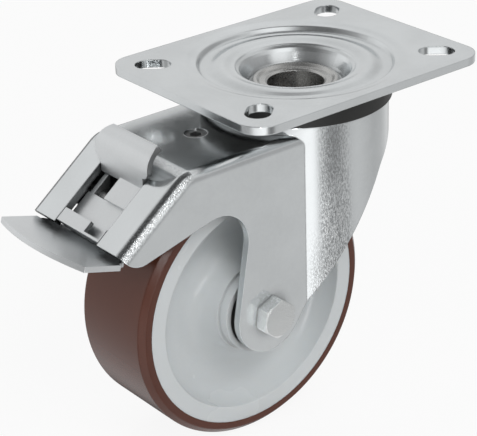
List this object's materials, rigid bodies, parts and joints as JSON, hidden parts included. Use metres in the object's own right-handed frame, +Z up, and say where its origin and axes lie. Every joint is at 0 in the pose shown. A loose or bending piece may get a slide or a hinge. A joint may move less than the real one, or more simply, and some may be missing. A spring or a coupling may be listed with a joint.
{
  "type": "swivel castor",
  "caption": "Swivel castor with a pressed top plate, ball-bearing head, offset fork, roller-bearing wheel and a pedal brake that locks the wheel and the swivel.",
  "frame": {"origin": "centre of the top plate's upper face, on the swivel axis", "axes": "+Z up along the swivel axis, X along the plate's long side with the wheel trailing to -X, Y along the axle"},
  "size_m": [0.1672, 0.085, 0.1295],
  "materials": {
    "plate_zinc": "zinc-plated pressed steel",
    "kingpin_steel": "turned steel",
    "bearing_steel": "plain steel",
    "ball_steel": "polished steel",
    "seal_black": "matt black",
    "fork_zinc": "zinc-plated pressed steel",
    "screw_steel": "zinc-plated",
    "bracket_zinc": "zinc-plated",
    "pin_steel": "turned steel",
    "spring_steel": "spring wire",
    "shoe_black": "matt rubber",
    "lever_zinc": "zinc-plated sheet",
    "tread_brown": "brown-red polyurethane, satin",
    "rim_white": "natural white polyamide",
    "bolt_zinc": "zinc-plated"
  },
  "bodies": {
    "plate": {"top_plate": "plate_zinc", "kingpin": "kingpin_steel", "lower_race": "bearing_steel", "lock_ring": "bearing_steel", "dust_seal": "seal_black"},
    "upper_row": {"upper_balls": "ball_steel", "upper_cage": "seal_black"},
    "lower_row": {"lower_balls": "ball_steel"},
    "swivel_fork": {"fork": "fork_zinc", "adjusting_screw": "screw_steel", "brake_bracket": "bracket_zinc", "rocker_pin": "pin_steel", "lock_plate_pin": "pin_steel", "return_spring": "spring_steel", "axle_tube": "pin_steel", "left_washer": "pin_steel", "right_washer": "pin_steel", "axle_bolt": "bolt_zinc", "lock_nut": "bolt_zinc"},
    "wheel": {"tread": "tread_brown", "wheel_rim": "rim_white", "left_hub_seal": "seal_black", "right_hub_seal": "seal_black"},
    "roller_row": {"rollers": "ball_steel", "roller_cage": "seal_black"},
    "rocker": {"brake_pedal": "lever_zinc", "release_tab": "lever_zinc"},
    "lock": {"lock_plate": "bracket_zinc", "brake_shoe": "shoe_black"}
  },
  "joints": [
    {"name": "swivel", "type": "hinge", "parent": "plate", "child": "swivel_fork", "pos_m": [0, 0, 0], "axis": [0, 0, 1], "continuous": true},
    {"name": "upper_row_turn", "type": "hinge", "parent": "plate", "child": "upper_row", "pos_m": [0, 0, 0], "axis": [0, 0, 1], "continuous": true},
    {"name": "lower_row_turn", "type": "hinge", "parent": "plate", "child": "lower_row", "pos_m": [0, 0, 0], "axis": [0, 0, 1], "continuous": true},
    {"name": "wheel_spin", "type": "hinge", "parent": "swivel_fork", "child": "wheel", "pos_m": [-0.036, 0, -0.0795], "axis": [0, 1, 0], "continuous": true},
    {"name": "roller_row_turn", "type": "hinge", "parent": "swivel_fork", "child": "roller_row", "pos_m": [-0.036, 0, -0.0795], "axis": [0, 1, 0], "continuous": true},
    {"name": "brake_pedal_turn", "type": "hinge", "parent": "swivel_fork", "child": "rocker", "pos_m": [-0.07898, 0, -0.03282], "axis": [0, 1, 0], "range_deg": [-18, 0]},
    {"name": "lock_plate_turn", "type": "hinge", "parent": "swivel_fork", "child": "lock", "pos_m": [-0.062, 0, -0.024], "axis": [0, 1, 0], "range_deg": [-5.4, 0]}
  ],
  "couplings": [
    {"joint": "upper_row_turn", "follows": "swivel", "ratio": 0.5},
    {"joint": "lower_row_turn", "follows": "swivel", "ratio": 0.5},
    {"joint": "roller_row_turn", "follows": "wheel_spin", "ratio": 0.603},
    {"joint": "lock_plate_turn", "follows": "brake_pedal_turn", "ratio": 0.3}
  ]
}
